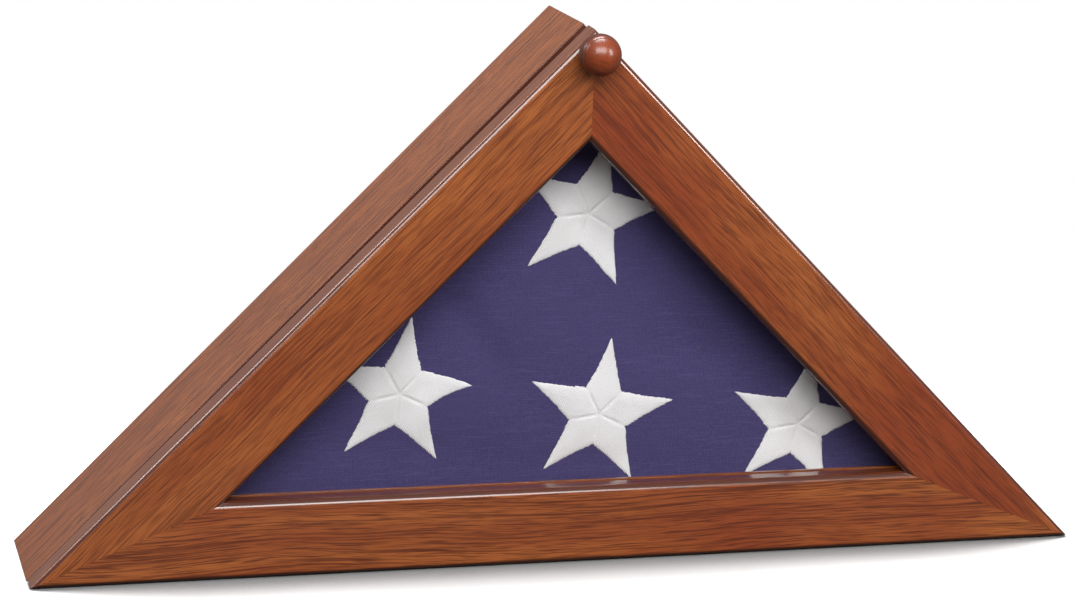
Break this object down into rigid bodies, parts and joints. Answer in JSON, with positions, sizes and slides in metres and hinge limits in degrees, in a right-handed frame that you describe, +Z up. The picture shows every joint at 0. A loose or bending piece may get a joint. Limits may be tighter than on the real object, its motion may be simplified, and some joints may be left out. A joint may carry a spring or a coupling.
{
  "type": "folded flag display case",
  "caption": "Triangular wooden display case that shows a folded flag behind a glazed front door, which is hinged along its bottom edge and opens by a ball knob.",
  "frame": {"origin": "bottom centre of the whole object's box, with the door closed against its catch", "axes": "+X along the base, to the right seen from the front; +Y from the door to the back; +Z up"},
  "size_m": [0.6594, 0.1304, 0.3304],
  "materials": {
    "case_wood": "satin varnished oak stained to a medium cherry brown",
    "door_wood": "satin varnished oak stained to a medium cherry brown",
    "block_wood": "bare softwood",
    "back_panel": "thin stained plywood",
    "glass": "clear float glass",
    "brass": "lacquered",
    "steel": "zinc plated",
    "catch_plastic": "moulded",
    "flag_cloth": "woven cotton with sewn stars"
  },
  "bodies": {
    "case": {"left_side_board": "case_wood", "right_side_board": "case_wood", "bottom_board": "case_wood", "back_panel": "back_panel", "back_panel_screw_1": "steel", "back_panel_screw_2": "steel", "back_panel_screw_3": "steel", "back_panel_screw_4": "steel", "back_panel_screw_5": "steel", "back_panel_screw_6": "steel", "corner_block": "block_wood", "catch_housing": "catch_plastic", "catch_magnet": "steel", "folded_flag": "flag_cloth", "left_hinge_case_leaf": "brass", "left_hinge_pin": "steel", "left_hinge_case_screw_1": "brass", "left_hinge_case_screw_2": "brass", "right_hinge_case_leaf": "brass", "right_hinge_pin": "steel", "right_hinge_case_screw_1": "brass", "right_hinge_case_screw_2": "brass"},
    "door": {"door_left_rail": "door_wood", "door_right_rail": "door_wood", "door_bottom_rail": "door_wood", "glass_pane": "glass", "glass_bead_left": "door_wood", "glass_bead_right": "door_wood", "glass_bead_bottom": "door_wood", "knob": "door_wood", "knob_screw": "steel", "strike_plate": "steel", "strike_plate_screw": "steel", "left_hinge_door_leaf": "brass", "left_hinge_door_screw_1": "brass", "left_hinge_door_screw_2": "brass", "right_hinge_door_leaf": "brass", "right_hinge_door_screw_1": "brass", "right_hinge_door_screw_2": "brass", "v_nail_left_1": "steel", "v_nail_left_2": "steel", "v_nail_right_1": "steel", "v_nail_right_2": "steel", "v_nail_apex_1": "steel", "v_nail_apex_2": "steel"}
  },
  "joints": [
    {"name": "door_hinge", "type": "hinge", "parent": "case", "child": "door", "pos_m": [0, -0.02866, 0.0068], "axis": [1, 0, 0], "range_deg": [0, 84]}
  ]
}
